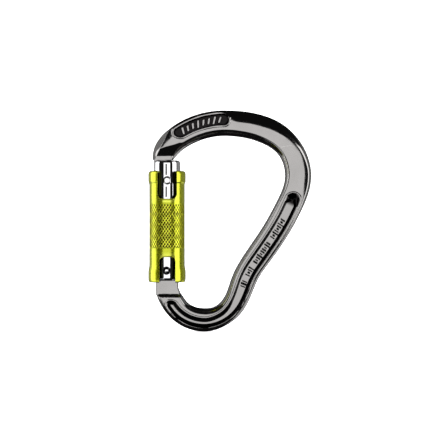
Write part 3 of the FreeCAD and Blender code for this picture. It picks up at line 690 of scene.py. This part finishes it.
def mixrgb(nt, fac, a, b, mode="MIX"):
    m = nt.nodes.new("ShaderNodeMix")
    m.data_type = "RGBA"
    m.blend_type = mode
    for sock, v in ((m.inputs[0], fac), (m.inputs[6], a), (m.inputs[7], b)):
        if hasattr(v, "links") or isinstance(v, bpy.types.NodeSocket):
            nt.links.new(v, sock)
        elif isinstance(v, tuple):
            sock.default_value = (*v, 1.0)
        else:
            sock.default_value = v
    return m.outputs[2]


def bump(nt, height, strength, distance, normal=None):
    b = nt.nodes.new("ShaderNodeBump")
    b.inputs["Strength"].default_value = strength
    b.inputs["Distance"].default_value = distance
    nt.links.new(height, b.inputs["Height"])
    if normal is not None:
        nt.links.new(normal, b.inputs["Normal"])
    return b.outputs["Normal"]


def edge_wear(nt, low, high):
    g = nt.nodes.new("ShaderNodeNewGeometry")
    return ramp(nt, g.outputs["Pointiness"], [(low, 0.0), (high, 1.0)])


def anodised_body():
    mat, nt, b = material("titanium_grey_anodised")
    c = coords(nt)
    cloud = noise(nt, c, 60, 3)
    fine = noise(nt, c, 900, 2)
    base = ramp(nt, cloud, [(0.3, (0.312, 0.303, 0.297)), (0.7, (0.352, 0.342, 0.336))])
    worn = edge_wear(nt, 0.56, 0.66)
    base = mixrgb(nt, worn, base, (0.46, 0.45, 0.44))
    # painted shade: near black where the recess attribute is set, in the pockets and on the groove walls
    recess_shade = nt.nodes.new("ShaderNodeAttribute")
    recess_shade.attribute_name = "recess_shade"
    base = mixrgb(nt, recess_shade.outputs["Fac"], base, (0.012, 0.011, 0.011))
    nt.links.new(base, b.inputs["Base Color"])
    scuff = noise(nt, c, 260, 5, 0.7, (1.0, 1.0, 0.25))
    rough = ramp(nt, scuff, [(0.35, 0.10), (0.62, 0.135), (0.75, 0.20)])
    nt.links.new(rough, b.inputs["Roughness"])
    b.inputs["Metallic"].default_value = 1.0
    nt.links.new(bump(nt, fine, 0.04, 0.00002), b.inputs["Normal"])
    return mat


def polished(name, colour, r0, r1, coat=0.0, turn=True):
    mat, nt, b = material(name)
    c = coords(nt)
    rings = noise(nt, c, 400, 3, 0.6, (0.15, 0.15, 6.0)) if turn else noise(nt, c, 500, 3)
    tone = noise(nt, c, 90, 2)
    dark = tuple(v * 0.93 for v in colour)
    nt.links.new(ramp(nt, tone, [(0.3, dark), (0.7, colour)]), b.inputs["Base Color"])
    nt.links.new(ramp(nt, rings, [(0.3, r0), (0.7, r1)]), b.inputs["Roughness"])
    b.inputs["Metallic"].default_value = 1.0
    nt.links.new(bump(nt, rings, 0.05, 0.00002), b.inputs["Normal"])
    return mat


def lime():
    mat, nt, b = material("lime_anodised_satin")
    c = coords(nt)
    cloud = noise(nt, c, 80, 3)
    fine = noise(nt, c, 1500, 3, 0.6, (1.0, 1.0, 3.0))
    base = ramp(nt, cloud, [(0.3, (0.455, 0.495, 0.003)), (0.7, (0.50, 0.545, 0.005))])
    worn = edge_wear(nt, 0.53, 0.62)
    base = mixrgb(nt, worn, base, (0.66, 0.70, 0.06))
    # painted highlight: the knurl's raised lines are coloured a lighter lime
    crest_highlight = nt.nodes.new("ShaderNodeAttribute")
    crest_highlight.attribute_name = "crest_highlight"
    base = mixrgb(nt, crest_highlight.outputs["Fac"], base, (0.74, 0.76, 0.03))
    # painted shade: near black in the knurl's pits, inside the bore and on the notch walls, with the coat taken off
    # there
    pit_and_shade = nt.nodes.new("ShaderNodeAttribute")
    pit_and_shade.attribute_name = "pit_and_shade"
    base = mixrgb(nt, pit_and_shade.outputs["Fac"], base, (0.026, 0.032, 0.001))
    sheen = nt.nodes.new("ShaderNodeMath")
    sheen.operation = "MULTIPLY_ADD"
    nt.links.new(pit_and_shade.outputs["Fac"], sheen.inputs[0])
    sheen.inputs[1].default_value = -0.70
    sheen.inputs[2].default_value = 0.70
    nt.links.new(sheen.outputs["Value"], b.inputs["Coat Weight"])
    nt.links.new(base, b.inputs["Base Color"])
    nt.links.new(ramp(nt, fine, [(0.3, 0.21), (0.7, 0.27)]), b.inputs["Roughness"])
    b.inputs["Metallic"].default_value = 0.92
    b.inputs["Coat Roughness"].default_value = 0.12
    nt.links.new(bump(nt, fine, 0.06, 0.00002), b.inputs["Normal"])
    return mat


def plastic():
    mat, nt, b = material("black_acetal")
    c = coords(nt)
    g = noise(nt, c, 700, 4)
    nt.links.new(ramp(nt, g, [(0.3, (0.012, 0.012, 0.013)), (0.7, (0.024, 0.024, 0.026))]), b.inputs["Base Color"])
    nt.links.new(ramp(nt, g, [(0.3, 0.38), (0.7, 0.5)]), b.inputs["Roughness"])
    nt.links.new(bump(nt, g, 0.15, 0.00003), b.inputs["Normal"])
    return mat


M_BODY, M_GATE = anodised_body(), polished("polished_gate_alloy", (0.88, 0.88, 0.89), 0.05, 0.09)
M_PIN = polished("bright_stainless_pin", (0.86, 0.86, 0.86), 0.10, 0.16, turn=False)
M_SPRING = polished("drawn_spring_steel", (0.50, 0.50, 0.52), 0.22, 0.34, turn=False)
M_LIME, M_PLASTIC = lime(), plastic()
# painted shade for the ring round the hinge rivet
M_SEAT_SHADE = polished("rivet_seat_painted_shade", (0.016, 0.015, 0.016), 0.25, 0.4, turn=False)


def wear(obj, mat):
    obj.data.materials.clear()
    obj.data.materials.append(mat)


for obj, mat, bodyname, node, slot in (
    (body, M_BODY, "frame", "frame_body", "body"),
    (gate, M_GATE, "gate", "gate_barrel", "gate"),
    (rivet, M_PIN, "gate", "hinge_rivet", "pins"),
    (latch, M_PIN, "gate", "latch_pin", "pins"),
    (sleeve, M_LIME, "sleeve", "lock_sleeve", "sleeve"),
):
    wear(obj, mat)
    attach(obj, bodyname)
    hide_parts(node)

# painted shade: the ring round the rivet in the gate's seats and the rim of the rivet head are coloured near black
for obj, inner in ((gate, 0.0), (rivet, 1.24)):
    obj.data.materials.append(M_SEAT_SHADE)
    for p in obj.data.polygons:
        rad = math.hypot(p.center.x / MM - GX, p.center.z / MM - HZ)
        if inner < rad < 2.13 and 3.2 < abs(p.center.y) / MM < 6.72:
            p.material_index = 1

# painted shade: the notches' cut walls are coloured near black, unlike the coloured outside
M_WALL_SHADE = polished("cut_wall_painted_shade", (0.020, 0.024, 0.004), 0.3, 0.42, turn=False)
sleeve.data.materials.append(M_WALL_SHADE)
for p in sleeve.data.polygons:
    x, z = p.center.x / MM, p.center.z / MM
    r = math.hypot(x - GX, p.center.y / MM)
    near = (z > 67.2 and abs(x - NOTCH_X) < 4.86) or (z < 38.1 and abs(x - GX - 0.5) < 4.06)
    if near and r < float(np.interp(z, shell_z, shell_r)) - 0.12:
        p.material_index = 1

# the return spring's lowest coil stands on the plunger's shoulder
coil_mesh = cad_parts["return_spring"].data.copy()
coil_mesh.materials.clear()
coil_mesh.materials.append(M_SPRING)
coil = bpy.data.objects.new("return_spring_coil", coil_mesh)
scene.collection.objects.link(coil)
weld(coil)
smooth_by_angle(coil, 40)
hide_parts("return_spring")
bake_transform(coil)

for node, mat in (("stop_pin", M_PIN), ("plunger", M_PIN), ("torsion_spring", M_SPRING),
                  ("snap_ring", M_SPRING), ("lower_bushing", M_PLASTIC), ("upper_bushing", M_PLASTIC),
                  ("spring_collar", M_PLASTIC)):
    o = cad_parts[node]
    if o.material_slots:
        for s in o.material_slots:
            s.material = mat
    else:
        o.data.materials.append(mat)

# ------------------------------------------------------------------------------------------------------------------
# Stage, light and camera
# ------------------------------------------------------------------------------------------------------------------
CX, CZ = -4.97 * MM, 56.61 * MM
cam_data = bpy.data.cameras.new("camera")
cam_data.lens = 100
cam_data.sensor_width = 36
cam_data.clip_start = 0.01
cam_data.clip_end = 50
cam = bpy.data.objects.new("camera", cam_data)
cam.location = (CX, -0.61997, CZ)
cam.rotation_euler = (math.radians(90), 0, 0)
scene.collection.objects.link(cam)
scene.camera = cam


def floor_sheet():
    """A pale round floor that sweeps up into a backdrop on every side."""
    profile = [(0.0, 0.0), (600.0, 0.0), (1500.0, 0.0), (2400.0, 0.0)]
    for k in range(1, 15):
        a = math.radians(-90 + 90 * k / 14)
        profile.append((2400.0 + 900.0 * math.cos(a), 900.0 + 900.0 * math.sin(a)))
    profile += [(3300.0, 2600.0), (3300.0, 4200.0)]
    return revolve("studio_floor", profile, 96, closed=False)


floor = floor_sheet()
for p in floor.data.polygons:
    p.use_smooth = True
mat, nt, b = material("pale_floor")
b.inputs["Base Color"].default_value = (0.92, 0.92, 0.92, 1)
b.inputs["Roughness"].default_value = 0.9
b.inputs["Emission Color"].default_value = (1, 1, 1, 1)
b.inputs["Emission Strength"].default_value = 0.75
wear(floor, mat)
floor.visible_glossy = False

world = bpy.data.worlds.new("studio")
scene.world = world
world.use_nodes = True
bg = world.node_tree.nodes["Background"]
bg.inputs["Color"].default_value = (1, 1, 1, 1)
bg.inputs["Strength"].default_value = 0.010


def area(name, loc, target, sx, sy, power, color=(1, 1, 1)):
    d = bpy.data.lights.new(name, "AREA")
    d.shape = "RECTANGLE"
    d.size, d.size_y = sx, sy
    d.energy = power
    d.color = color
    o = bpy.data.objects.new(name, d)
    o.location = loc
    direction = Vector(target) - Vector(loc)
    o.rotation_euler = direction.to_track_quat("-Z", "Y").to_euler()
    scene.collection.objects.link(o)
    o.visible_camera = False
    return o


T = (0.0, 0.0, 0.056)
# radiance of a one-sided area light is power / (pi * area); the numbers below are radiance * pi * area


def card(name, az, el, dist, sx, sy, radiance):
    a, e = math.radians(az), math.radians(el)
    loc = (T[0] + dist * math.sin(a) * math.cos(e), T[1] - dist * math.cos(a) * math.cos(e), T[2] + dist * math.sin(e))
    return area(name, loc, T, sx, sy, radiance * math.pi * sx * sy)


card("front_card", 0, 2, 1.2, 1.24, 0.60, 1.42)
card("low_left_card", -47, -30, 1.2, 0.9, 0.56, 0.8)
card("low_rear_card", 135, -30, 1.2, 0.9, 0.56, 0.8)
card("left_box", -93, 4, 1.1, 0.80, 1.4, 2.3)
card("right_box", 72, 4, 1.1, 0.82, 1.4, 2.5)
card("right_rear_card", 127, 4, 1.2, 1.42, 1.3, 0.24)
card("left_rear_card", -131, 4, 1.2, 0.78, 1.3, 0.38)
card("left_back_card", -165, 4, 1.2, 0.6, 1.3, 0.15)

scene.view_settings.view_transform = "Standard"
scene.view_settings.look = "None"
scene.view_settings.exposure = 0.0
scene.view_settings.gamma = 1.0
